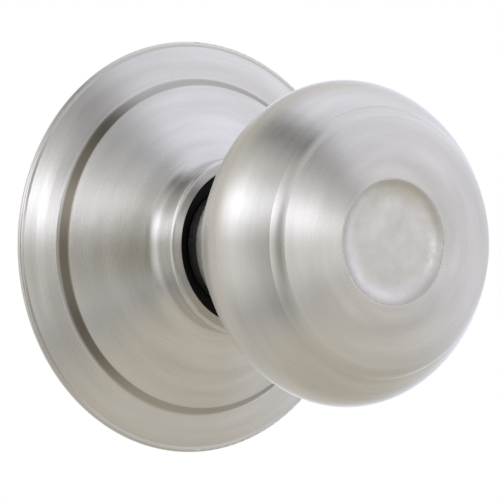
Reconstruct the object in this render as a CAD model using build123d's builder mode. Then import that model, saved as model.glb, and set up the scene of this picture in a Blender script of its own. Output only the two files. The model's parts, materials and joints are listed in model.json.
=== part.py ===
from build123d import *
import os
from math import asin, cos, degrees, radians, sin

# Passage door knob, outside trim: rose, turning knob, return spring and spindle.  Millimetres.
# The origin is the centre of the door face that the rose bears on.  The knob's axis is Y:
# the knob points to -Y, the door is on the +Y side, and +Z is up.
# "Out" is the distance from the door face towards the knob (out = -Y), negative inside the door.

# Rose: a pressed shell with a flange, a riser, a cone and a collar
ROSE_RADIUS = 33.35
ROSE_SHEET = 0.7
RIM_OUT = 0.95
FLANGE_TOP_OUT = 2.35
RISER_FOOT_RADIUS = 27.4
RISER_TOP_OUT = 3.9
RISER_TOP_RADIUS = 26.1
CONE_TOP_OUT = 9.95
COLLAR_RADIUS = 13.75
LIP_RADIUS = 14.45
LIP_OUT = 16.0
LIP_BORE = 12.6

# Knob: a spun rear shell on a neck, closed by a face cap
KNOB_SHEET = 0.9
NECK_RADIUS = 9.8
NECK_END_OUT = 13.7
FLARE_START_OUT = 15.5
KNOB_RADIUS = 25.35
KNOB_WIDEST_OUT = 42.8
SEAM_OUT = 51.5
SEAM_RADIUS = 21.0
BEAD_FRONT_OUT = 53.2
BEAD_INNER_RADIUS = 19.4
DISH_RIM_OUT = 54.85
DISH_RADIUS = 9.6
DISH_DEPTH = 0.95

# Mounting plate and its posts, 38 mm apart, for #8-32 through bolts
PLATE_SHEET = 0.8
PLATE_RADIUS = 28.9
PLATE_STEP_RADIUS = 25.0
PLATE_BACK_OUT = 1.9
PLATE_FRONT_OUT = PLATE_BACK_OUT + PLATE_SHEET
PLATE_BORE = 9.0
POST_SPACING = 38.0
POST_RADIUS = 3.2
POST_END_OUT = -13.0
THREAD_RADIUS = 1.7
THREAD_DEPTH = 14.0

# Spring cage behind the plate
CAGE_RADIUS = 15.5
CAGE_WALL = 1.5
CAGE_FLOOR = 1.4
CAGE_END_OUT = -7.5
COVER_SHEET = 1.2
EAR_CIRCLE = 17.2
EAR_RADIUS = 2.7
EAR_ANGLES = (90, 210, 330)
SCREW_RADIUS = 1.2

# Shank, bushes and spindle
SHANK_RADIUS = 8.0
SHANK_BORE = 6.2
SHANK_END_OUT = -13.1
SHANK_FRONT_OUT = 29.9
FLATS_OUT = -0.5
FLAT_DISTANCE = 7.0
RUNNING_GAP = 0.05
ASSEMBLY_GAP = 0.05
SPINDLE_SIDE = 7.94
SPINDLE_END_OUT = -36.0
SPINDLE_FRONT_OUT = 21.9
CROSS_PIN_RADIUS = 1.2
CROSS_PIN_OUT = 18.9

# Return spring, drive plate and stops
KNOB_TURN = 60
WIRE_RADIUS = 0.6
COIL_RADIUS = 10.0
COIL_PITCH = 1.25
COIL_TURNS = 2.75
COIL_FRONT_OUT = -0.95
DRIVE_BACK_OUT = -7.2
DRIVE_THICKNESS = 2.0
DRIVE_RADIUS = 11.4
LUG_RADIUS = 13.6
LUG_HALF_ANGLE = 16
STOP_PIN_RADIUS = 1.1
STOP_CIRCLE = 12.9
STOP_CLEARANCE = 1.5

os.makedirs("parts", exist_ok=True)


def at(out, radius):
    """Point of a turned outline, in the XY plane: the radius along X, out along -Y."""
    return (radius, -out)


def facing(out):
    """Plane across the axis at a distance out; extrude goes further out."""
    return Plane.XZ.offset(out)


# ---------------------------------------------------------------- rose
RIM_FOOT_RADIUS = 32.85
RIM_INNER_RADIUS = 32.4
CREASE = (0.93, 32.5)
FLANGE_BEND = (1.75, 30.4)
COLLAR_END_OUT = 13.9
LIP_START_OUT = 14.5
LIP_BACK_OUT = 15.0
INNER_COLLAR = COLLAR_RADIUS - ROSE_SHEET
RISER_FOOT_INSIDE = (1.65, 26.9)
RISER_TOP_INSIDE = (3.35, 25.45)
CONE_TOP_INSIDE_OUT = 9.5

with BuildPart() as rose:
    with BuildSketch(Plane.XY):
        with BuildLine():
            outside = FilletPolyline(
                at(0, RIM_FOOT_RADIUS),
                at(0, ROSE_RADIUS),
                at(RIM_OUT, ROSE_RADIUS),
                at(*CREASE),
                at(*FLANGE_BEND),
                at(FLANGE_TOP_OUT, RISER_FOOT_RADIUS),
                at(RISER_TOP_OUT, RISER_TOP_RADIUS),
                at(CONE_TOP_OUT, COLLAR_RADIUS),
                at(COLLAR_END_OUT, COLLAR_RADIUS),
                at(LIP_START_OUT, LIP_RADIUS),
                at(LIP_OUT, LIP_RADIUS),
                at(LIP_OUT, LIP_BORE),
                at(LIP_BACK_OUT, LIP_BORE),
                radius=[0.42, 0.42, 0.15, 12.0, 0.6, 0.35, 2.4, 0.5, 0.3, 0.65, 0.15],
            )
            inside = FilletPolyline(
                at(LIP_BACK_OUT, LIP_BORE),
                at(LIP_START_OUT, INNER_COLLAR),
                at(CONE_TOP_INSIDE_OUT, INNER_COLLAR),
                at(*RISER_TOP_INSIDE),
                at(*RISER_FOOT_INSIDE),
                at(FLANGE_BEND[0] - ROSE_SHEET, FLANGE_BEND[1]),
                at(CREASE[0] - ROSE_SHEET, CREASE[1]),
                at(0, RIM_INNER_RADIUS),
                radius=[0.2, 3.0, 0.3, 1.0, 10.0, 0.1],
            )
            Line(inside @ 1, outside @ 0)
        make_face()
    revolve(axis=Axis.Y)
rose.part.label = "rose"
export_step(rose.part, "parts/rose.step")

# ---------------------------------------------------------------- mounting plate
TAB_RADIUS = 26.2
TAB_WIDTH = 5.0
TAB_BACK_OUT = 1.2
TAB_HEIGHT = 1.2
STAKE_RADIUS = 2.6


def ear_places():
    """Places of the three screws and of the ears that take them."""
    return PolarLocations(EAR_CIRCLE, len(EAR_ANGLES), start_angle=EAR_ANGLES[0])


with BuildPart() as mounting_plate:
    with BuildSketch(Plane.XY):
        with BuildLine():
            front = FilletPolyline(
                at(PLATE_SHEET, PLATE_RADIUS),
                at(PLATE_SHEET, PLATE_STEP_RADIUS),
                at(PLATE_FRONT_OUT, PLATE_STEP_RADIUS),
                at(PLATE_FRONT_OUT, PLATE_BORE),
                radius=[0.3, 1.2],
            )
            back = FilletPolyline(
                at(PLATE_BACK_OUT, PLATE_BORE),
                at(PLATE_BACK_OUT, PLATE_STEP_RADIUS - PLATE_SHEET),
                at(0, PLATE_STEP_RADIUS - PLATE_SHEET),
                at(0, PLATE_RADIUS),
                radius=[0.3, 1.2],
            )
            Line(front @ 1, back @ 0)
            Line(back @ 1, front @ 0)
        make_face()
    revolve(axis=Axis.Y)
    # snap tabs that reach the slope of the rose's riser
    with BuildSketch(facing(TAB_BACK_OUT)):
        with PolarLocations(PLATE_STEP_RADIUS, 3, start_angle=30):
            Rectangle(4 * PLATE_SHEET, TAB_WIDTH)
        Circle(TAB_RADIUS, mode=Mode.INTERSECT)
        Circle(PLATE_STEP_RADIUS - PLATE_SHEET / 2, mode=Mode.SUBTRACT)
    extrude(amount=TAB_HEIGHT)
    with BuildSketch(facing(PLATE_BACK_OUT)):
        with GridLocations(POST_SPACING, 0, 2, 1):
            Circle(STAKE_RADIUS + ASSEMBLY_GAP)
        with ear_places():
            Circle(SCREW_RADIUS + ASSEMBLY_GAP)
    extrude(amount=PLATE_SHEET, mode=Mode.SUBTRACT)
mounting_plate.part.label = "mounting_plate"
export_step(mounting_plate.part, "parts/mounting_plate.step")

# ---------------------------------------------------------------- threaded posts, staked to the plate
STAKED_HEAD_RADIUS = 3.5
STAKED_HEAD = 0.6

with BuildPart() as threaded_posts:
    for foot_out, length, radius in (
        (POST_END_OUT, PLATE_BACK_OUT - POST_END_OUT, POST_RADIUS),
        (PLATE_BACK_OUT, PLATE_SHEET, STAKE_RADIUS),
        (PLATE_FRONT_OUT, STAKED_HEAD, STAKED_HEAD_RADIUS),
    ):
        with BuildSketch(facing(foot_out)):
            with GridLocations(POST_SPACING, 0, 2, 1):
                Circle(radius)
        extrude(amount=length)
    chamfer(threaded_posts.edges().group_by(Axis.Y)[-1], length=0.5)
    with BuildSketch(facing(POST_END_OUT)):
        with GridLocations(POST_SPACING, 0, 2, 1):
            Circle(THREAD_RADIUS)
    extrude(amount=THREAD_DEPTH, mode=Mode.SUBTRACT)
threaded_posts.part.label = "threaded_posts"
export_step(threaded_posts.part, "parts/threaded_posts.step")

# ---------------------------------------------------------------- bushes
BUSH_BORE = SHANK_RADIUS + RUNNING_GAP
BUSH_FACE_OUT = 13.2
BUSH_FACE_CHAMFER = 0.4
BUSH_SLEEVE_RADIUS = INNER_COLLAR - ASSEMBLY_GAP
BUSH_FLANGE_RADIUS = 13.8
BUSH_FLANGE_OUT = 7.1
BUSH_FLANGE = 1.0
BUSH_HUB_RADIUS = 11.0
BUSH_SPIGOT_RADIUS = PLATE_BORE - ASSEMBLY_GAP

with BuildPart() as front_bush:
    with BuildSketch(Plane.XY):
        with BuildLine():
            Polyline(
                at(BUSH_FACE_OUT, BUSH_BORE),
                at(BUSH_FACE_OUT, BUSH_SLEEVE_RADIUS - BUSH_FACE_CHAMFER),
                at(BUSH_FACE_OUT - BUSH_FACE_CHAMFER, BUSH_SLEEVE_RADIUS),
                at(BUSH_FLANGE_OUT + BUSH_FLANGE, BUSH_SLEEVE_RADIUS),
                at(BUSH_FLANGE_OUT + BUSH_FLANGE, BUSH_FLANGE_RADIUS),
                at(BUSH_FLANGE_OUT, BUSH_FLANGE_RADIUS),
                at(BUSH_FLANGE_OUT, BUSH_HUB_RADIUS),
                at(PLATE_FRONT_OUT, BUSH_HUB_RADIUS),
                at(PLATE_FRONT_OUT, BUSH_SPIGOT_RADIUS),
                at(PLATE_BACK_OUT, BUSH_SPIGOT_RADIUS),
                at(PLATE_BACK_OUT, BUSH_BORE),
                close=True,
            )
        make_face()
    revolve(axis=Axis.Y)
front_bush.part.label = "front_bush"
export_step(front_bush.part, "parts/front_bush.step")

CAGE_FLOOR_OUT = PLATE_BACK_OUT - CAGE_FLOOR
REAR_BUSH_RADIUS = 9.6
REAR_BUSH_FLANGE_RADIUS = 10.8
REAR_BUSH_FLANGE = 0.7

with BuildPart() as rear_bush:
    with BuildSketch(Plane.XY):
        with BuildLine():
            Polyline(
                at(PLATE_BACK_OUT, BUSH_BORE),
                at(PLATE_BACK_OUT, REAR_BUSH_RADIUS),
                at(CAGE_FLOOR_OUT, REAR_BUSH_RADIUS),
                at(CAGE_FLOOR_OUT, REAR_BUSH_FLANGE_RADIUS),
                at(CAGE_FLOOR_OUT - REAR_BUSH_FLANGE, REAR_BUSH_FLANGE_RADIUS),
                at(CAGE_FLOOR_OUT - REAR_BUSH_FLANGE, BUSH_BORE),
                close=True,
            )
        make_face()
    revolve(axis=Axis.Y)
rear_bush.part.label = "rear_bush"
export_step(rear_bush.part, "parts/rear_bush.step")

# ---------------------------------------------------------------- spring cage, cover and screws
CAGE_BORE = CAGE_RADIUS - CAGE_WALL
PIN_HALF_ANGLE = degrees(asin(STOP_PIN_RADIUS / STOP_CIRCLE))
STOP_ANGLE = KNOB_TURN + LUG_HALF_ANGLE + PIN_HALF_ANGLE + STOP_CLEARANCE
STOP_SEAT = 1.0
LEG_SLOT_WIDTH = 4 * WIRE_RADIUS
LEG_SLOT_DEPTH = 0.9


def stop_pin_places():
    """Places of the two stop pins, one each side of the lug, which hangs at the bottom."""
    return PolarLocations(
        STOP_CIRCLE, 2, start_angle=-90 - STOP_ANGLE, angular_range=2 * STOP_ANGLE, endpoint=True
    )


with BuildPart() as spring_cage:
    with BuildSketch(facing(CAGE_END_OUT)):
        Circle(CAGE_RADIUS)
        with ear_places():
            Circle(EAR_RADIUS)
    extrude(amount=PLATE_BACK_OUT - CAGE_END_OUT)
    with BuildSketch(facing(CAGE_END_OUT)):
        Circle(CAGE_BORE)
    extrude(amount=CAGE_FLOOR_OUT - CAGE_END_OUT, mode=Mode.SUBTRACT)
    with BuildSketch(facing(CAGE_END_OUT)):
        Circle(REAR_BUSH_RADIUS + ASSEMBLY_GAP)
        with ear_places():
            Circle(SCREW_RADIUS + ASSEMBLY_GAP)
    extrude(amount=PLATE_BACK_OUT - CAGE_END_OUT, mode=Mode.SUBTRACT)
    with BuildSketch(facing(CAGE_FLOOR_OUT)):
        with stop_pin_places():
            Circle(STOP_PIN_RADIUS + ASSEMBLY_GAP)
    extrude(amount=STOP_SEAT, mode=Mode.SUBTRACT)
    # slot in the wall for the spring's fixed leg
    with BuildSketch(facing(COIL_FRONT_OUT - LEG_SLOT_WIDTH / 2)):
        with Locations((0, CAGE_BORE)):
            Rectangle(LEG_SLOT_WIDTH, 2 * LEG_SLOT_DEPTH)
    extrude(amount=CAGE_FLOOR_OUT - COIL_FRONT_OUT + LEG_SLOT_WIDTH / 2, mode=Mode.SUBTRACT)
spring_cage.part.label = "spring_cage"
export_step(spring_cage.part, "parts/spring_cage.step")

COVER_END_OUT = CAGE_END_OUT - COVER_SHEET
COVER_BORE = SHANK_RADIUS + 1.0

with BuildPart() as cage_cover:
    with BuildSketch(facing(COVER_END_OUT)):
        Circle(CAGE_RADIUS)
        with ear_places():
            Circle(EAR_RADIUS)
        with ear_places():
            Circle(SCREW_RADIUS + ASSEMBLY_GAP, mode=Mode.SUBTRACT)
        Circle(COVER_BORE, mode=Mode.SUBTRACT)
    extrude(amount=COVER_SHEET)
cage_cover.part.label = "cage_cover"
export_step(cage_cover.part, "parts/cage_cover.step")

SCREW_HEAD_RADIUS = 2.3
SCREW_HEAD = 1.5
SCREW_TIP_OUT = PLATE_FRONT_OUT + 0.6
RECESS_LENGTH = 2.6
RECESS_WIDTH = 0.6
RECESS_DEPTH = 0.9

with BuildPart() as cage_screws:
    with BuildSketch(facing(COVER_END_OUT)):
        with ear_places():
            Circle(SCREW_RADIUS)
    extrude(amount=SCREW_TIP_OUT - COVER_END_OUT)
    chamfer(cage_screws.edges().group_by(Axis.Y)[0], length=0.3)
    with BuildSketch(facing(COVER_END_OUT - SCREW_HEAD)):
        with ear_places():
            Circle(SCREW_HEAD_RADIUS)
    extrude(amount=SCREW_HEAD)
    fillet(cage_screws.edges().group_by(Axis.Y)[-1], radius=0.7)
    with BuildSketch(facing(COVER_END_OUT - SCREW_HEAD)):
        with ear_places():
            Rectangle(RECESS_LENGTH, RECESS_WIDTH)
            Rectangle(RECESS_WIDTH, RECESS_LENGTH)
    extrude(amount=RECESS_DEPTH, mode=Mode.SUBTRACT)
cage_screws.part.label = "cage_screws"
export_step(cage_screws.part, "parts/cage_screws.step")

with BuildPart() as stop_pins:
    with BuildSketch(facing(DRIVE_BACK_OUT)):
        with stop_pin_places():
            Circle(STOP_PIN_RADIUS)
    extrude(amount=CAGE_FLOOR_OUT + STOP_SEAT - ASSEMBLY_GAP - DRIVE_BACK_OUT)
    chamfer(stop_pins.edges(), length=0.2)
stop_pins.part.label = "stop_pins"
export_step(stop_pins.part, "parts/stop_pins.step")

# ---------------------------------------------------------------- shank, drive plate and return spring
GROOVE_RADIUS = 7.3
GROOVE_WIDTH = 1.1
GROOVE_OUT = -12.0
ROLLED_END_RADIUS = 9.0
ROLLED_END = 0.9


def cross_hole():
    """Section of the cross pin's hole, along X through the axis."""
    with Locations((-CROSS_PIN_OUT, 0)):
        Circle(CROSS_PIN_RADIUS + ASSEMBLY_GAP)


with BuildPart() as shank:
    with BuildSketch(Plane.XY):
        with BuildLine():
            FilletPolyline(
                at(SHANK_END_OUT, SHANK_BORE),
                at(SHANK_END_OUT, SHANK_RADIUS),
                at(GROOVE_OUT, SHANK_RADIUS),
                at(GROOVE_OUT, GROOVE_RADIUS),
                at(GROOVE_OUT + GROOVE_WIDTH, GROOVE_RADIUS),
                at(GROOVE_OUT + GROOVE_WIDTH, SHANK_RADIUS),
                at(SHANK_FRONT_OUT - ROLLED_END, SHANK_RADIUS),
                at(SHANK_FRONT_OUT - ROLLED_END, ROLLED_END_RADIUS),
                at(SHANK_FRONT_OUT, ROLLED_END_RADIUS),
                at(SHANK_FRONT_OUT, SHANK_BORE),
                radius=[0, 0.3, 0, 0, 0, 0, 0, 0, 0.6, 0],
                close=True,
            )
        make_face()
    revolve(axis=Axis.Y)
    # two flats, above and below, carry the drive plate
    with BuildSketch(facing(SHANK_END_OUT)):
        with GridLocations(0, 2 * (FLAT_DISTANCE + SHANK_RADIUS / 2), 1, 2):
            Rectangle(2 * SHANK_RADIUS, SHANK_RADIUS)
    extrude(amount=FLATS_OUT - SHANK_END_OUT, mode=Mode.SUBTRACT)
    with BuildSketch(Plane.YZ):
        cross_hole()
    extrude(amount=SHANK_RADIUS, both=True, mode=Mode.SUBTRACT)
shank.part.label = "shank"
export_step(shank.part, "parts/shank.step")

SPRING_HOLE_RADIUS = WIRE_RADIUS + 0.2
COIL_END_OUT = COIL_FRONT_OUT - COIL_PITCH * COIL_TURNS
COIL_END_ANGLE = 90 - 360 * COIL_TURNS
COIL_END = (COIL_RADIUS * cos(radians(COIL_END_ANGLE)), COIL_RADIUS * sin(radians(COIL_END_ANGLE)))

with BuildPart() as drive_plate:
    with BuildSketch(facing(DRIVE_BACK_OUT)):
        with BuildLine():
            lug = ThreePointArc(
                (LUG_RADIUS * sin(radians(-LUG_HALF_ANGLE)), -LUG_RADIUS * cos(radians(LUG_HALF_ANGLE))),
                (0, -LUG_RADIUS),
                (LUG_RADIUS * sin(radians(LUG_HALF_ANGLE)), -LUG_RADIUS * cos(radians(LUG_HALF_ANGLE))),
            )
            Line(lug @ 1, (0, 0))
            Line((0, 0), lug @ 0)
        make_face()
        Circle(DRIVE_RADIUS)
        with Locations(COIL_END):
            Circle(SPRING_HOLE_RADIUS, mode=Mode.SUBTRACT)
    extrude(amount=DRIVE_THICKNESS)
    # hole with two flats, to the shank's section
    with BuildSketch(facing(DRIVE_BACK_OUT)):
        Circle(SHANK_RADIUS + ASSEMBLY_GAP)
        Rectangle(2 * DRIVE_RADIUS, 2 * (FLAT_DISTANCE + ASSEMBLY_GAP), mode=Mode.INTERSECT)
    extrude(amount=DRIVE_THICKNESS, mode=Mode.SUBTRACT)
drive_plate.part.label = "drive_plate"
export_step(drive_plate.part, "parts/drive_plate.step")

LEG_RADIUS_OUT = CAGE_BORE + LEG_SLOT_DEPTH - 0.2

with BuildPart() as return_spring:
    # the coil starts at the top and winds towards the drive plate
    with BuildLine():
        coil = Helix(
            pitch=COIL_PITCH,
            height=COIL_PITCH * COIL_TURNS,
            radius=COIL_RADIUS,
            center=(0, -COIL_FRONT_OUT, 0),
            direction=(0, 1, 0),
        )
    with BuildSketch(Plane(origin=coil @ 0, z_dir=coil % 0)):
        Circle(WIRE_RADIUS)
    sweep(path=coil, is_frenet=True)
    # fixed leg, out into the slot of the cage wall
    with BuildSketch(Plane(origin=coil @ 0, z_dir=(0, 0, 1))):
        Circle(WIRE_RADIUS)
    extrude(amount=LEG_RADIUS_OUT - COIL_RADIUS)
    # moving leg, back into the drive plate
    with BuildSketch(Plane(origin=coil @ 1, z_dir=(0, 1, 0))):
        Circle(WIRE_RADIUS)
    extrude(amount=COIL_END_OUT - DRIVE_BACK_OUT)
    with Locations(coil @ 0, coil @ 1):
        Sphere(WIRE_RADIUS)
return_spring.part.label = "return_spring"
export_step(return_spring.part, "parts/return_spring.step")

# ---------------------------------------------------------------- spindle, socket and cross pin
SOCKET_END_OUT = -10.6
SOCKET_FRONT_OUT = 22.9

with BuildPart() as spindle_socket:
    with BuildSketch(facing(SOCKET_END_OUT)):
        Circle(SHANK_BORE - ASSEMBLY_GAP)
        Rectangle(
            SPINDLE_SIDE + 2 * ASSEMBLY_GAP, SPINDLE_SIDE + 2 * ASSEMBLY_GAP, mode=Mode.SUBTRACT
        )
    extrude(amount=SOCKET_FRONT_OUT - SOCKET_END_OUT)
    with BuildSketch(Plane.YZ):
        cross_hole()
    extrude(amount=SHANK_RADIUS, both=True, mode=Mode.SUBTRACT)
spindle_socket.part.label = "spindle_socket"
export_step(spindle_socket.part, "parts/spindle_socket.step")

with BuildPart() as spindle:
    with BuildSketch(facing(SPINDLE_END_OUT)):
        Rectangle(SPINDLE_SIDE, SPINDLE_SIDE)
    extrude(amount=SPINDLE_FRONT_OUT - SPINDLE_END_OUT)
    chamfer(spindle.edges().group_by(Axis.Y)[-1], length=0.8)
    fillet(spindle.edges().filter_by(Axis.Y), radius=0.3)
    with BuildSketch(Plane.YZ):
        cross_hole()
    extrude(amount=SHANK_RADIUS, both=True, mode=Mode.SUBTRACT)
spindle.part.label = "spindle"
export_step(spindle.part, "parts/spindle.step")

with BuildPart() as spindle_pin:
    with BuildSketch(Plane.YZ):
        with Locations((-CROSS_PIN_OUT, 0)):
            Circle(CROSS_PIN_RADIUS)
    extrude(amount=SHANK_RADIUS - 0.2, both=True)
    chamfer(spindle_pin.edges(), length=0.2)
spindle_pin.part.label = "spindle_pin"
export_step(spindle_pin.part, "parts/spindle_pin.step")

# ---------------------------------------------------------------- washers and retaining ring
WASHER_BORE = SHANK_RADIUS + ASSEMBLY_GAP
END_GAP = 0.1
WASHER_RADIUS = 13.0
THRUST_SHEET = 0.8
THRUST_OUT = COVER_END_OUT - END_GAP - THRUST_SHEET
BOW_SHEET = 0.4
BOW_BACK_OUT = GROOVE_OUT + GROOVE_WIDTH
BOW_HEIGHT = THRUST_OUT - BOW_BACK_OUT - END_GAP
RING_THICKNESS = 1.0
RING_RADIUS = 10.2
RING_EYE_RADIUS = 0.7
RING_EAR_RADIUS = 1.6
RING_EAR_CIRCLE = 10.4
RING_EAR_HALF_ANGLE = 14
RING_GAP = 2.0

with BuildPart() as front_washer:
    with BuildSketch(facing(BUSH_FACE_OUT + END_GAP)):
        Circle(NECK_RADIUS - 0.2)
        Circle(WASHER_BORE, mode=Mode.SUBTRACT)
    extrude(amount=NECK_END_OUT - BUSH_FACE_OUT - 2 * END_GAP)
front_washer.part.label = "front_washer"
export_step(front_washer.part, "parts/front_washer.step")

with BuildPart() as thrust_washer:
    with BuildSketch(facing(THRUST_OUT)):
        Circle(WASHER_RADIUS)
        Circle(WASHER_BORE, mode=Mode.SUBTRACT)
    extrude(amount=THRUST_SHEET)
thrust_washer.part.label = "thrust_washer"
export_step(thrust_washer.part, "parts/thrust_washer.step")

with BuildPart() as spring_washer:
    with BuildSketch(facing(BOW_BACK_OUT)):
        Circle(WASHER_RADIUS - 1)
        Circle(WASHER_BORE, mode=Mode.SUBTRACT)
    extrude(amount=BOW_HEIGHT)
    # bowed to an arc: its middle touches the thrust washer, its sides the retaining ring
    with BuildSketch(Plane.YZ):
        with BuildLine():
            back_arc = ThreePointArc(
                (-BOW_BACK_OUT, -WASHER_RADIUS),
                (-BOW_BACK_OUT - BOW_HEIGHT + BOW_SHEET, 0),
                (-BOW_BACK_OUT, WASHER_RADIUS),
            )
            front_arc = ThreePointArc(
                (-BOW_BACK_OUT - BOW_SHEET, WASHER_RADIUS),
                (-BOW_BACK_OUT - BOW_HEIGHT, 0),
                (-BOW_BACK_OUT - BOW_SHEET, -WASHER_RADIUS),
            )
            Line(back_arc @ 1, front_arc @ 0)
            Line(front_arc @ 1, back_arc @ 0)
        make_face()
    extrude(amount=WASHER_RADIUS, both=True, mode=Mode.INTERSECT)
spring_washer.part.label = "spring_washer"
export_step(spring_washer.part, "parts/spring_washer.step")


def ring_ear_places():
    """The two ears of the retaining ring, each side of its gap at the bottom."""
    return PolarLocations(
        RING_EAR_CIRCLE,
        2,
        start_angle=-90 - RING_EAR_HALF_ANGLE,
        angular_range=2 * RING_EAR_HALF_ANGLE,
        endpoint=True,
    )


with BuildPart() as retaining_ring:
    with BuildSketch(facing(GROOVE_OUT + (GROOVE_WIDTH - RING_THICKNESS) / 2)):
        Circle(RING_RADIUS)
        with ring_ear_places():
            Circle(RING_EAR_RADIUS)
        with ring_ear_places():
            Circle(RING_EYE_RADIUS, mode=Mode.SUBTRACT)
        Circle(GROOVE_RADIUS + ASSEMBLY_GAP, mode=Mode.SUBTRACT)
        with Locations((0, -RING_EAR_CIRCLE)):
            Rectangle(RING_GAP, RING_RADIUS, mode=Mode.SUBTRACT)
    extrude(amount=RING_THICKNESS)
retaining_ring.part.label = "retaining_ring"
export_step(retaining_ring.part, "parts/retaining_ring.step")

# ---------------------------------------------------------------- knob: shell, face, core
INSET_STEPS = 10


def inset(curve, share):
    """Point at a share of a curve's length, moved in by the sheet's thickness."""
    return curve @ share + (curve % share).rotate(Axis.Z, -90) * KNOB_SHEET


with BuildPart() as knob_body:
    with BuildSketch(Plane.XY):
        with BuildLine():
            neck = Line(at(NECK_END_OUT, NECK_RADIUS), at(FLARE_START_OUT, NECK_RADIUS))
            flank = Spline(
                neck @ 1,
                at(17.4, 10.8),
                at(21.4, 12.9),
                at(29.9, 18.5),
                at(35.9, 22.4),
                at(KNOB_WIDEST_OUT, KNOB_RADIUS),
                at(47.9, 23.75),
                at(SEAM_OUT, SEAM_RADIUS),
                tangents=[(0, -1), (-0.68, -0.73)],
            )
            inner_flank = Spline(
                *[inset(flank, step / INSET_STEPS) for step in range(INSET_STEPS + 1)],
                tangents=[flank % 0, flank % 1],
            )
            Line(flank @ 1, inner_flank @ 1)
            Polyline(
                inner_flank @ 0,
                at(NECK_END_OUT, NECK_RADIUS - KNOB_SHEET),
                neck @ 0,
            )
        make_face()
    revolve(axis=Axis.Y)
knob_body.part.label = "knob_body"
export_step(knob_body.part, "parts/knob_body.step")

SKIRT_RADIUS = 20.15
SKIRT_END_OUT = 47.7
SKIRT_BORE = SKIRT_RADIUS - KNOB_SHEET
SEAM_GAP = 0.02
SEAM_STEP_OUT = 51.25
BEAD_CREST = (52.53, 20.36)
FACE_BEND = (54.3, 14.5)
FACE_FOOT_INSIDE_OUT = 52.15
FACE_INSIDE_RADIUS = 9.9
DISH_FLOOR_OUT = DISH_RIM_OUT - DISH_DEPTH
DISH_VALLEY_RADIUS = 7.4
DISH_CROWN = 0.22
DISH_CROWN_RADIUS = 3.0
DISH_INSIDE_RADIUS = 7.9

with BuildPart() as knob_face:
    with BuildSketch(Plane.XY):
        with BuildLine():
            skirt = Polyline(
                at(SKIRT_END_OUT, SKIRT_BORE),
                at(SKIRT_END_OUT, SKIRT_RADIUS),
                at(SEAM_STEP_OUT, SKIRT_RADIUS),
                at(SEAM_OUT + SEAM_GAP, SEAM_RADIUS),
            )
            bead = ThreePointArc(skirt @ 1, at(*BEAD_CREST), at(BEAD_FRONT_OUT, BEAD_INNER_RADIUS))
            front = FilletPolyline(
                bead @ 1,
                at(*FACE_BEND),
                at(DISH_RIM_OUT, DISH_RADIUS),
                at(DISH_FLOOR_OUT, DISH_VALLEY_RADIUS),
                at(DISH_FLOOR_OUT + DISH_CROWN, DISH_CROWN_RADIUS),
                at(DISH_FLOOR_OUT + DISH_CROWN, 0),
                radius=[60.0, 1.5, 5.0, 50.0],
            )
            back = FilletPolyline(
                at(DISH_FLOOR_OUT - KNOB_SHEET, 0),
                at(DISH_FLOOR_OUT - KNOB_SHEET, DISH_INSIDE_RADIUS),
                at(DISH_RIM_OUT - KNOB_SHEET, FACE_INSIDE_RADIUS),
                at(FACE_FOOT_INSIDE_OUT, SKIRT_BORE),
                at(SKIRT_END_OUT, SKIRT_BORE),
                radius=[0.8, 0.8, 0.8],
            )
            Line(front @ 1, back @ 0)
        make_face()
    revolve(axis=Axis.Y)
knob_face.part.label = "knob_face"
export_step(knob_face.part, "parts/knob_face.step")

CORE_END_OUT = 27.3
CORE_START_OUT = NECK_END_OUT + 0.2
CORE_SLEEVE_RADIUS = NECK_RADIUS - KNOB_SHEET - 0.1
CORE_WASHER_RADIUS = 12.0

with BuildPart() as knob_core:
    with BuildSketch(Plane.XY):
        with BuildLine():
            sleeve = Line(at(CORE_START_OUT, CORE_SLEEVE_RADIUS), at(FLARE_START_OUT, CORE_SLEEVE_RADIUS))
            flare = Spline(
                sleeve @ 1,
                at(18.9, 10.2),
                at(22.4, 12.2),
                at(CORE_END_OUT, 15.3),
                tangents=[(0, -1), (0.64, -1)],
            )
            Polyline(
                flare @ 1,
                at(CORE_END_OUT, WASHER_BORE),
                at(CORE_START_OUT, WASHER_BORE),
                sleeve @ 0,
            )
        make_face()
    revolve(axis=Axis.Y)
knob_core.part.label = "knob_core"
export_step(knob_core.part, "parts/knob_core.step")

with BuildPart() as core_washer:
    with BuildSketch(facing(CORE_END_OUT + ASSEMBLY_GAP)):
        Circle(CORE_WASHER_RADIUS)
        Circle(WASHER_BORE, mode=Mode.SUBTRACT)
    extrude(amount=SHANK_FRONT_OUT - ROLLED_END - CORE_END_OUT - 2 * ASSEMBLY_GAP)
core_washer.part.label = "core_washer"
export_step(core_washer.part, "parts/core_washer.step")
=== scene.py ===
import json
from math import cos, hypot, pi, radians, sin

import bpy
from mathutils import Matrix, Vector


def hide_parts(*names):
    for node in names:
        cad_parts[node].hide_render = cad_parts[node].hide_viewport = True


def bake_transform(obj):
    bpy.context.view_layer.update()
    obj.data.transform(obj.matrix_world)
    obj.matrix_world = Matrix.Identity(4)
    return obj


# Looks of the passage door knob.  Metres, in the frame of the CAD model: the knob's axis is Y, the
# knob points to -Y and the door is on the +Y side.

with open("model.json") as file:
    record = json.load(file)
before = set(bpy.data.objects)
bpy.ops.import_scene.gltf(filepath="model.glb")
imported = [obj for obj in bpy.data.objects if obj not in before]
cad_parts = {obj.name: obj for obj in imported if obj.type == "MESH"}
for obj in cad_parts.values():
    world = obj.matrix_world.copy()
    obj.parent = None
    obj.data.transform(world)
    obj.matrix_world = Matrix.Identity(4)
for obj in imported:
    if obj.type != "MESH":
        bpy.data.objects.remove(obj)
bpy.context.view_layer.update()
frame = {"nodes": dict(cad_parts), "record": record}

MM = 0.001
AXIS_GUARD = 0.02 * MM  # keeps the turning lines from dividing by a radius of zero


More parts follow.
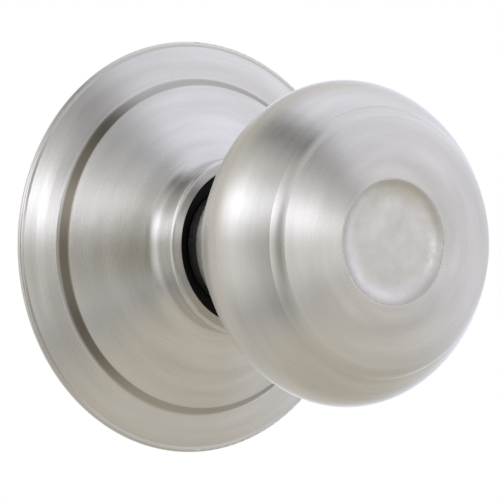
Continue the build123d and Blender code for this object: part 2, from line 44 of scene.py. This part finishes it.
# ---------------------------------------------------------------- node helpers
class Nodes:
    """A node tree, built with short calls."""

    def __init__(self, tree):
        self.tree = tree

    def node(self, kind, **settings):
        made = self.tree.nodes.new(kind)
        for key, value in settings.items():
            setattr(made, key, value)
        return made

    def put(self, target, value):
        """Sets a socket to a number or links it to another socket."""
        if isinstance(value, bpy.types.NodeSocket):
            self.tree.links.new(value, target)
        else:
            target.default_value = value

    def math(self, operation, first, second=0.0):
        made = self.node("ShaderNodeMath", operation=operation)
        self.put(made.inputs[0], first)
        self.put(made.inputs[1], second)
        return made.outputs[0]

    def split(self, vector):
        made = self.node("ShaderNodeSeparateXYZ")
        self.put(made.inputs[0], vector)
        return made.outputs

    def vector(self, operation, vector, constant):
        made = self.node("ShaderNodeVectorMath", operation=operation)
        self.put(made.inputs[0], vector)
        made.inputs[1].default_value = constant
        return made

    def length(self, first, second):
        first_square = self.math("MULTIPLY", first, first)
        second_square = self.math("MULTIPLY", second, second)
        return self.math("SQRT", self.math("ADD", first_square, second_square))

    def ramp(self, value, low, high, start=0.0, end=1.0, smooth=False):
        """Maps value from low..high to start..end, clamped."""
        curve = "SMOOTHSTEP" if smooth else "LINEAR"
        made = self.node("ShaderNodeMapRange", interpolation_type=curve)
        self.put(made.inputs["Value"], value)
        ends = {"From Min": low, "From Max": high, "To Min": start, "To Max": end}
        for name, number in ends.items():
            made.inputs[name].default_value = number
        return made.outputs["Result"]

    def band(self, value, opens, closes, smooth=False):
        """Rises from zero to one over opens, and falls back to zero over closes."""
        rise = self.ramp(value, *opens, smooth=smooth)
        fall = self.ramp(value, *closes, 1, 0, smooth=smooth)
        return self.math("MULTIPLY", rise, fall)

    def spread(self, noise, start=0.0, end=1.0):
        """Maps the range that a noise mostly keeps to, 0.3 to 0.7, to start..end."""
        return self.ramp(noise, 0.3, 0.7, start, end)

    def colours(self, factor, low, high):
        """Mixes two colours, or colour sockets: low at factor 0, high at 1."""
        made = self.node("ShaderNodeMix", data_type="RGBA")
        self.put(made.inputs["Factor"], factor)
        for name, colour in (("A", low), ("B", high)):
            self.put(made.inputs[name], (*colour, 1) if isinstance(colour, tuple) else colour)
        return made.outputs["Result"]

    def noise(self, vector, scale=1.0, detail=2.0, roughness=0.5):
        made = self.node("ShaderNodeTexNoise")
        self.put(made.inputs["Vector"], vector)
        made.inputs["Scale"].default_value = scale
        made.inputs["Detail"].default_value = detail
        made.inputs["Roughness"].default_value = roughness
        return made.outputs["Fac"]

    def cells(self, vector, scale):
        """Grains of random brightness."""
        made = self.node("ShaderNodeTexVoronoi")
        self.put(made.inputs["Vector"], vector)
        made.inputs["Scale"].default_value = scale
        return made.outputs["Color"]


class Finish(Nodes):
    """A procedural material round one Principled shader."""

    def __init__(self, name, metallic, **constants):
        self.material = bpy.data.materials.new(name)
        self.material.use_nodes = True
        super().__init__(self.material.node_tree)
        self.bsdf = self.tree.nodes["Principled BSDF"]
        self.bsdf.inputs["Metallic"].default_value = metallic
        for key, value in constants.items():
            self.bsdf.inputs[key.replace("_", " ")].default_value = value
        self.place = self.node("ShaderNodeTexCoord").outputs["Object"]

    def set(self, **sockets):
        for key, value in sockets.items():
            self.put(self.bsdf.inputs[key.replace("_", " ")], value)

    def bump(self, height, distance, after=None):
        made = self.node("ShaderNodeBump")
        made.inputs["Distance"].default_value = distance
        self.put(made.inputs["Height"], height)
        if after is not None:
            self.put(made.inputs["Normal"], after)
        return made.outputs["Normal"]

    def stretched(self, scale_x, scale_y, scale_z):
        """The shaded point, scaled: noise read there is drawn out along the smallest scale."""
        scaled = self.vector("MULTIPLY", self.place, (scale_x, scale_y, scale_z))
        return scaled.outputs["Vector"]

    def radius(self):
        """Distance of the shaded point from the Y axis."""
        x, _, z = self.split(self.place)
        return self.length(x, z)

    def turned(self, lines_per_metre, wander, detail=3.0):
        """Turning lines round the Y axis, which fade in and out along their length."""
        x, y, z = self.split(self.place)
        radius = self.length(x, z)
        off_axis = self.math("MAXIMUM", radius, AXIS_GUARD)
        join = self.node("ShaderNodeCombineXYZ")
        self.put(join.inputs[0], self.math("MULTIPLY", radius, lines_per_metre))
        for socket, side in zip(join.inputs[1:], (x, z)):
            self.put(socket, self.math("MULTIPLY", self.math("DIVIDE", side, off_axis), wander))
        made = self.node("ShaderNodeTexNoise", noise_dimensions="4D")
        self.put(made.inputs["Vector"], join.outputs[0])
        self.put(made.inputs["W"], self.math("MULTIPLY", y, lines_per_metre))
        made.inputs["Scale"].default_value = 1.0
        made.inputs["Detail"].default_value = detail
        return made.outputs["Fac"]

    def grain_round_axis(self):
        """Stretches highlights across lines that run round the Y axis."""
        tangent = self.node("ShaderNodeTangent", direction_type="RADIAL", axis="Y")
        self.set(Tangent=tangent.outputs[0])


# ---------------------------------------------------------------- finishes
ACROSS_GRAIN = 0.25  # a quarter turn from the direction of the lines

# Painted shade: the groove round the rose's cone is coloured darker, most at the left and right,
# less above and below.
GROOVE_INSIDE = 26.25 * MM
GROOVE_OUTSIDE = 26.95 * MM
GROOVE_FADE = 0.25 * MM
GROOVE_SHADE_WEAKENS_OVER = (0.6, 0.98)  # height above or below the axis, in groove radii, over which the painted shade weakens
WEAKEST_GROOVE_SHADE = 0.46
GROOVE_PAINTED_SHADE = (0.25, 0.223, 0.182)


def groove_shade_share(made):
    """Share of painted shade in the groove round the rose's cone; less above and below."""
    opens = (GROOVE_INSIDE - GROOVE_FADE, GROOVE_INSIDE)
    closes = (GROOVE_OUTSIDE, GROOVE_OUTSIDE + 2 * GROOVE_FADE)
    groove = made.band(made.radius(), opens, closes, smooth=True)
    height = made.math("ABSOLUTE", made.split(made.place)["Z"])
    height = made.math("DIVIDE", height, GROOVE_OUTSIDE)
    shade_fade = made.ramp(height, *GROOVE_SHADE_WEAKENS_OVER, 1, WEAKEST_GROOVE_SHADE, smooth=True)
    return made.math("MULTIPLY", groove, shade_fade)


def satin_nickel():
    """Nickel plate, brushed round the knob's axis, with painted shade darkening the groove."""
    made = Finish(
        "satin_nickel_finish",
        metallic=1.0,
        Anisotropic=0.9,
        Anisotropic_Rotation=ACROSS_GRAIN,
    )
    fine = made.turned(lines_per_metre=2400, wander=1.3)
    broad = made.turned(lines_per_metre=330, wander=0.9)
    cloud = made.noise(made.place, scale=55, detail=3)
    brushed = made.colours(
        made.spread(broad), low=(0.66, 0.645, 0.62), high=(0.80, 0.785, 0.765)
    )
    # painted shade laid over the brushed colour in the groove
    with_groove_shade = made.colours(groove_shade_share(made), brushed, GROOVE_PAINTED_SHADE)
    streak = made.ramp(fine, 0.25, 0.75, -0.02, 0.02)
    patch = made.spread(cloud, 0.26, 0.30)
    made.set(Base_Color=with_groove_shade, Roughness=made.math("ADD", streak, patch))
    made.set(Normal=made.bump(broad, 0.006 * MM, after=made.bump(fine, 0.0018 * MM)))
    made.grain_round_axis()
    return made.material


DISH_WALL_RADIUS = 8.0 * MM
DISH_EDGE_RADIUS = 9.7 * MM
DISH_DEPTH = 3 * MM
# Painted shade: the dish's wall is coloured darker than its floor.
WALL_PAINTED_SHADE = (0.50, 0.47, 0.43)
WALL_SHADE_STRENGTH = 0.7


def blasted_nickel():
    """The knob's dish: pressed and blasted before plating, so mottled, with painted shade darkening
    its wall.
    """
    made = Finish("blasted_nickel_finish", metallic=1.0)
    pebbles = made.noise(made.place, scale=1100, detail=3, roughness=0.6)
    cloud = made.noise(made.place, scale=260, detail=4, roughness=0.6)
    dish_floor = made.colours(
        made.spread(cloud), low=(0.72, 0.70, 0.675), high=(0.85, 0.83, 0.81)
    )
    # painted shade, rising up the dish's wall
    wall_shade = made.ramp(
        made.radius(), DISH_WALL_RADIUS, DISH_EDGE_RADIUS, 0, WALL_SHADE_STRENGTH, smooth=True
    )
    made.set(
        Base_Color=made.colours(wall_shade, dish_floor, WALL_PAINTED_SHADE),
        Roughness=made.spread(pebbles, 0.38, 0.5),
        Normal=made.bump(cloud, 0.025 * MM, after=made.bump(pebbles, 0.015 * MM)),
    )
    return made.material


def black_nylon():
    """Moulded black nylon: a dull, finely grained skin with faint flow marks."""
    made = Finish("black_nylon_finish", metallic=0.0, IOR=1.53, Specular_IOR_Level=0.2)
    grain = made.noise(made.place, scale=3200)
    flow = made.noise(made.stretched(160, 60, 160), detail=4, roughness=0.6)
    made.set(
        Base_Color=made.colours(flow, low=(0.003, 0.003, 0.0035), high=(0.008, 0.008, 0.009)),
        Roughness=made.spread(flow, 0.46, 0.58),
        Normal=made.bump(grain, 0.006 * MM),
    )
    return made.material


def zinc_plate():
    """Bright zinc over pressed steel: bluish, with rolling lines, soft spangle and dull patches."""
    made = Finish("zinc_plate_finish", metallic=1.0)
    spangle = made.cells(made.place, scale=480)
    rolled = made.noise(made.stretched(90, 90, 2600), detail=3)
    dull = made.noise(made.place, scale=130, detail=4, roughness=0.65)
    blue = made.colours(spangle, low=(0.58, 0.61, 0.64), high=(0.70, 0.72, 0.74))
    faded = made.ramp(dull, 0.52, 0.75)
    streak = made.spread(rolled, -0.04, 0.05)
    patch = made.ramp(dull, 0.35, 0.75, 0.27, 0.42)
    made.set(
        Base_Color=made.colours(faded, low=blue, high=(0.55, 0.55, 0.50)),
        Roughness=made.math("ADD", streak, patch),
        Normal=made.bump(rolled, 0.004 * MM),
    )
    return made.material


def cast_zinc():
    """Die-cast zinc as it leaves the die: dull grey, finely pitted, with cloudy flow lines."""
    made = Finish("cast_zinc_finish", metallic=1.0)
    skin = made.noise(made.place, scale=1500, detail=3, roughness=0.6)
    flow = made.noise(made.stretched(70, 190, 110), detail=5, roughness=0.65)
    cloudy = made.ramp(flow, 0.35, 0.7)
    made.set(
        Base_Color=made.colours(cloudy, low=(0.34, 0.345, 0.35), high=(0.48, 0.485, 0.49)),
        Roughness=made.spread(flow, 0.62, 0.44),
        Normal=made.bump(flow, 0.02 * MM, after=made.bump(skin, 0.018 * MM)),
    )
    return made.material


def turned_steel():
    """Steel turned on the lathe, with tool lines round the axis and a film of oil."""
    made = Finish(
        "turned_steel_finish",
        metallic=1.0,
        Anisotropic=0.6,
        Anisotropic_Rotation=ACROSS_GRAIN,
        Coat_Weight=0.15,
        Coat_Roughness=0.12,
    )
    lines = made.turned(lines_per_metre=3600, wander=1.0)
    bands = made.turned(lines_per_metre=500, wander=0.6)
    oil = made.noise(made.place, scale=180, detail=3)
    streak = made.spread(lines, -0.04, 0.04)
    patch = made.spread(oil, 0.24, 0.32)
    made.set(
        Base_Color=made.colours(bands, low=(0.46, 0.455, 0.45), high=(0.60, 0.595, 0.585)),
        Roughness=made.math("ADD", streak, patch),
        Normal=made.bump(lines, 0.005 * MM),
    )
    made.grain_round_axis()
    return made.material


def drawn_steel():
    """Cold-drawn bar and stamped blanks: fine lines along the bar and a few darker stains."""
    made = Finish("drawn_steel_finish", metallic=1.0)
    lines = made.noise(made.stretched(3800, 45, 3800), detail=3)
    stains = made.noise(made.place, scale=150, detail=4, roughness=0.6)
    stained = made.ramp(stains, 0.45, 0.75)
    streak = made.spread(lines, -0.05, 0.05)
    patch = made.ramp(stains, 0.4, 0.7, 0.28, 0.42)
    made.set(
        Base_Color=made.colours(stained, low=(0.58, 0.575, 0.565), high=(0.36, 0.34, 0.32)),
        Roughness=made.math("ADD", streak, patch),
        Normal=made.bump(lines, 0.005 * MM),
    )
    return made.material


def spring_steel():
    """Oil-tempered spring steel: blue-black scale, with drawing lines worn bright in places."""
    made = Finish("spring_steel_finish", metallic=1.0)
    scale = made.noise(made.place, scale=420, detail=4, roughness=0.6)
    scratches = made.noise(made.stretched(3000, 3000, 400))
    blued = made.colours(scale, low=(0.055, 0.055, 0.065), high=(0.13, 0.115, 0.10))
    worn = made.ramp(scratches, 0.62, 0.75)
    made.set(
        Base_Color=made.colours(worn, low=blued, high=(0.32, 0.31, 0.30)),
        Roughness=made.spread(scale, 0.30, 0.45),
        Normal=made.bump(scratches, 0.003 * MM),
    )
    return made.material


finishes = {
    "satin_nickel": satin_nickel(),
    "black_nylon": black_nylon(),
    "zinc_plated_steel": zinc_plate(),
    "cast_zinc": cast_zinc(),
    "bright_steel": turned_steel(),
    "spring_steel": spring_steel(),
}
for part in frame["record"]["subparts"]:
    materials = frame["nodes"][part["node"]].data.materials
    materials.clear()
    materials.append(finishes[part["material_slot"]])

# steel pieces that are drawn or stamped, not turned
drawn = drawn_steel()
for node in ("spindle", "spindle_pin", "stop_pins", "drive_plate"):
    frame["nodes"][node].data.materials[0] = drawn


def blast_dish(face):
    """Gives the dish in the knob's face its own finish."""
    face.materials.append(blasted_nickel())
    dish_back = min(corner.co.y for corner in face.vertices) + DISH_DEPTH
    for polygon in face.polygons:
        middle = polygon.center
        if middle.y < dish_back and hypot(middle.x, middle.z) < DISH_EDGE_RADIUS:
            polygon.material_index = 1


blast_dish(frame["nodes"]["knob_face"].data)

# ---------------------------------------------------------------- return spring
WIRE_RADIUS = 0.6 * MM
COIL_RADIUS = 10 * MM
COIL_TURNS = 2.75
COIL_START = 0.95 * MM
COIL_LENGTH = 3.44 * MM
FIXED_LEG_END = 14.6 * MM
MOVING_LEG_END = 7.1 * MM
BEND = 1.2 * MM
COIL_STEPS = 66
BEND_STEPS = 2  # steps at each end of the coil that the bend into the leg takes up


def coil_point(share):
    """Centre of the wire at a share of the coil, which starts at the top."""
    angle = radians(90 - 360 * COIL_TURNS * share)
    along = COIL_START + COIL_LENGTH * share
    return Vector((COIL_RADIUS * cos(angle), along, COIL_RADIUS * sin(angle)))


def wire_route():
    """Down the fixed leg, round the coil and along the moving leg."""
    first, last = coil_point(0), coil_point(1)
    steps = range(BEND_STEPS, COIL_STEPS - BEND_STEPS + 1)
    coil = [coil_point(step / COIL_STEPS) for step in steps]
    fixed_leg = [Vector((0, first.y, FIXED_LEG_END)), first + Vector((0, 0, BEND)), first]
    moving_leg = [last, last + Vector((0, BEND, 0)), Vector((last.x, MOVING_LEG_END, last.z))]
    return fixed_leg + coil + moving_leg


def wire_mesh(points):
    """Round wire along a smooth curve through the route."""
    curve = bpy.data.curves.new("spring_route", "CURVE")
    curve.dimensions = "3D"
    curve.bevel_depth = WIRE_RADIUS
    curve.bevel_resolution = 5
    curve.use_fill_caps = True
    line = curve.splines.new("NURBS")
    line.points.add(len(points) - 1)
    for spot, point in zip(line.points, points):
        spot.co = (*point, 1)
    line.order_u = 3
    line.use_endpoint_u = True
    line.resolution_u = 4
    holder = bpy.data.objects.new("spring_route", curve)
    mesh = bpy.data.meshes.new_from_object(holder)
    bpy.data.objects.remove(holder)
    bpy.data.curves.remove(curve)
    return mesh


spring = bpy.data.objects.new("torsion_spring", wire_mesh(wire_route()))
bpy.context.scene.collection.objects.link(spring)
for polygon in spring.data.polygons:
    polygon.use_smooth = True
spring.data.materials.append(finishes["spring_steel"])
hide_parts("return_spring")
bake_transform(spring)

# ---------------------------------------------------------------- floor
FLOOR_DROP = 0.115
FLOOR_RADIUS = 1.4
FLOOR_SIDES = 64


def pale_paper():
    """Matt, faintly mottled paper, with a weak glow that keeps the floor pale."""
    made = Finish(
        "pale_paper",
        metallic=0.0,
        Emission_Color=(1, 1, 1, 1),
        Emission_Strength=0.18,
    )
    fibres = made.noise(made.place, scale=40, detail=4)
    made.set(
        Base_Color=made.colours(fibres, low=(0.87, 0.87, 0.87), high=(0.90, 0.90, 0.90)),
        Roughness=0.7,
    )
    return made.material


def floor_disc():
    turns = [2 * pi * side / FLOOR_SIDES for side in range(FLOOR_SIDES)]
    rim = [(FLOOR_RADIUS * cos(turn), FLOOR_RADIUS * sin(turn), -FLOOR_DROP) for turn in turns]
    mesh = bpy.data.meshes.new("floor")
    mesh.from_pydata(rim, [], [range(FLOOR_SIDES)])
    mesh.materials.append(pale_paper())
    return mesh


floor = bpy.data.objects.new("floor", floor_disc())
bpy.context.scene.collection.objects.link(floor)
floor.visible_glossy = False

# ---------------------------------------------------------------- light
# A soft light tent.  Its panels fan out from FAN_CENTRE, the heading behind the knob as the camera
# sees it: turn 0 is the right-hand panel, 90 the top, 180 the left and 270 the bottom.  Reach is a
# heading's distance from that centre.  The photograph's view mirrors it at about 0.2 to 0.4 in the
# knob's face, 0.4 to 0.6 in the rose's flange, 0.85 in its cone and over 1.2 in the knob's flank.
VIEW_SIDE = (-0.585, -0.811, 0)
FAN_CENTRE = 0.585
WARM = (1.04, 0.98, 0.85)
PLAIN = (1.0, 1.0, 0.98)
COOL = (0.98, 0.99, 1.09)
PANELS = (
    (0, 0.87, COOL),
    (50, 1.04, COOL),
    (85, 0.98, COOL),
    (122, 0.86, COOL),
    (146, 0.70, PLAIN),
    (165, 0.96, PLAIN),
    (192, 0.94, PLAIN),
    (207, 0.50, PLAIN),
    (225, 0.565, WARM),
    (275, 0.56, WARM),
    (300, 0.68, PLAIN),
    (330, 0.96, COOL),
    (360, 0.87, COOL),
)

# A bright strip and a black flag hang in the fan.  Both are full in the flange and weaker in the
# knob's flank; turns and half widths are in degrees.
FLANGE_END = (0.66, 0.82)
FLANK_START = (1.0, 1.25)
STRIP_LIGHT = (4.2, 4.25, 4.75)
STRIP_TURN = 166
STRIP_HALF_WIDTH = 15
STRIP_START = (0.44, 0.60)
STRIP_IN_FLANK = 0.26
BLACK_FLAG = (0.05, 0.05, 0.03)
FLAG_TURN = 133
FLAG_HALF_WIDTH = 20
FLAG_START = (0.26, 0.38)
FLAG_IN_CONE = 0.08
FLAG_IN_FLANK = 0.8

# Round the fan: a grey middle, the wall that the door stands in, the backdrop, the opening that the
# camera looks through, and a dark card at the left.  Each fades in from its first to its second
# bound: of reach, of the heading's Y, of its likeness to VIEW_SIDE, or of its distance to the card.
CENTRE = (0.66, 0.635, 0.61)
CENTRE_FADE = (0.5, 0.1)
CENTRE_SHARE = 0.6
BACK_WALL = (0.73, 0.70, 0.65)
BACK_WALL_FADE = (0.15, 0.60)
BACKDROP = (1.33, 1.46, 1.72)
BACKDROP_FADE = (-0.80, -0.95)
CAMERA_OPENING = (0.34, 0.33, 0.27)
OPENING_FADE = (0.86, 0.97)
DARK_CARD = (0.05, 0.045, 0.03)
CARD_SIDE = (-0.82, -0.57, 0)
CARD_SQUEEZE = (1, 1, 0.55)
CARD_FADE = (0.65, 0.35)
CARD_SHARE = 0.35
SEEN_DIRECTLY = (1.0, 1.0, 1.0)


def panel_colour(brightness, tone):
    return (*(brightness * part for part in tone), 1)


def fan_of_panels(tent, turn):
    """Colour of the tent by the turn of a heading about the fan's centre."""
    made = tent.node("ShaderNodeValToRGB")
    tent.put(made.inputs["Fac"], tent.math("DIVIDE", turn, 360))
    stops = made.color_ramp.elements
    while len(stops) < len(PANELS):
        stops.new(0.5)
    for stop, (degree, brightness, tone) in zip(stops, PANELS):
        stop.position = degree / 360
        stop.color = panel_colour(brightness, tone)
    return made.outputs["Color"]


def place_in_fan(tent, across, up):
    """Turn of a heading about the fan's centre, in degrees, and its reach."""
    sideways = tent.math("SUBTRACT", across, FAN_CENTRE)
    turn = tent.math("DEGREES", tent.math("ARCTAN2", up, sideways))
    return tent.math("FLOORED_MODULO", turn, 360), tent.length(up, sideways)


def wedge(tent, turn, middle, half_width):
    """One at a turn of the fan, falling to zero at half_width degrees to each side."""
    away = tent.math("ABSOLUTE", tent.math("SUBTRACT", turn, middle))
    return tent.ramp(away, half_width, 0, smooth=True)


def strip_share(tent, turn, reach):
    in_flange = tent.band(reach, STRIP_START, FLANGE_END)
    in_flank = tent.ramp(reach, *FLANK_START, 0, STRIP_IN_FLANK)
    strip = wedge(tent, turn, STRIP_TURN, STRIP_HALF_WIDTH)
    return tent.math("MULTIPLY", strip, tent.math("ADD", in_flange, in_flank))


def flag_share(tent, turn, reach):
    in_flange = tent.band(reach, FLAG_START, FLANGE_END)
    in_flank = tent.ramp(reach, *FLANK_START, FLAG_IN_CONE, FLAG_IN_FLANK)
    flag = wedge(tent, turn, FLAG_TURN, FLAG_HALF_WIDTH)
    return tent.math("MULTIPLY", flag, tent.math("MAXIMUM", in_flange, in_flank))


def card_share(tent, heading):
    squeezed = tent.vector("MULTIPLY", heading, CARD_SQUEEZE).outputs["Vector"]
    from_card = tent.vector("DISTANCE", squeezed, CARD_SIDE).outputs["Value"]
    return tent.ramp(from_card, *CARD_FADE, 0, CARD_SHARE, smooth=True)


def light_tent(world):
    """Lights the world by heading; each row of layers lies over the rows before it."""
    tent = Nodes(world.node_tree)
    heading = tent.node("ShaderNodeTexCoord").outputs["Generated"]
    across, away, up = tent.split(heading)
    facing = tent.vector("DOT_PRODUCT", heading, VIEW_SIDE).outputs["Value"]
    turn, reach = place_in_fan(tent, across, up)
    layers = (
        (tent.ramp(reach, *CENTRE_FADE, 0, CENTRE_SHARE, smooth=True), CENTRE),
        (strip_share(tent, turn, reach), STRIP_LIGHT),
        (flag_share(tent, turn, reach), BLACK_FLAG),
        (tent.ramp(away, *BACK_WALL_FADE, smooth=True), BACK_WALL),
        (tent.ramp(facing, *BACKDROP_FADE, smooth=True), BACKDROP),
        (tent.ramp(facing, *OPENING_FADE, smooth=True), CAMERA_OPENING),
        (card_share(tent, heading), DARK_CARD),
        (tent.node("ShaderNodeLightPath").outputs["Is Camera Ray"], SEEN_DIRECTLY),
    )
    colour = fan_of_panels(tent, turn)
    for share, light in layers:
        colour = tent.colours(share, colour, light)
    tent.put(world.node_tree.nodes["Background"].inputs["Color"], colour)


world = bpy.data.worlds.new("light_tent")
bpy.context.scene.world = world
world.use_nodes = True
light_tent(world)
bpy.context.scene.view_settings.view_transform = "Standard"

# ---------------------------------------------------------------- camera
VIEW_AZIMUTH = -35.8
VIEW_ELEVATION = -0.88
VIEW_DISTANCE = 0.700
LENS = 319.5
SENSOR_WIDTH = 36
NEAREST_SEEN = 0.05
FARTHEST_SEEN = 20
PIVOT = Vector((0, -26.9 * MM, 0))
AIM_RIGHT = -5.8 * MM
AIM_UP = -0.82 * MM


def aim(camera):
    """Stands the camera VIEW_DISTANCE from the pivot and aims it a little beside the pivot."""
    azimuth, elevation = radians(VIEW_AZIMUTH), radians(VIEW_ELEVATION)
    level = cos(elevation)
    back = Vector((sin(azimuth) * level, -cos(azimuth) * level, sin(elevation)))
    right = Vector((cos(azimuth), sin(azimuth), 0))
    up = back.cross(right)
    camera.location = PIVOT + back * VIEW_DISTANCE
    target = PIVOT + right * AIM_RIGHT + up * AIM_UP
    camera.rotation_mode = "QUATERNION"
    camera.rotation_quaternion = (camera.location - target).to_track_quat("Z", "Y")


lens = bpy.data.cameras.new("camera")
lens.lens = LENS
lens.sensor_width = SENSOR_WIDTH
lens.clip_start = NEAREST_SEEN
lens.clip_end = FARTHEST_SEEN
camera = bpy.data.objects.new("camera", lens)
bpy.context.scene.collection.objects.link(camera)
bpy.context.scene.camera = camera
aim(camera)
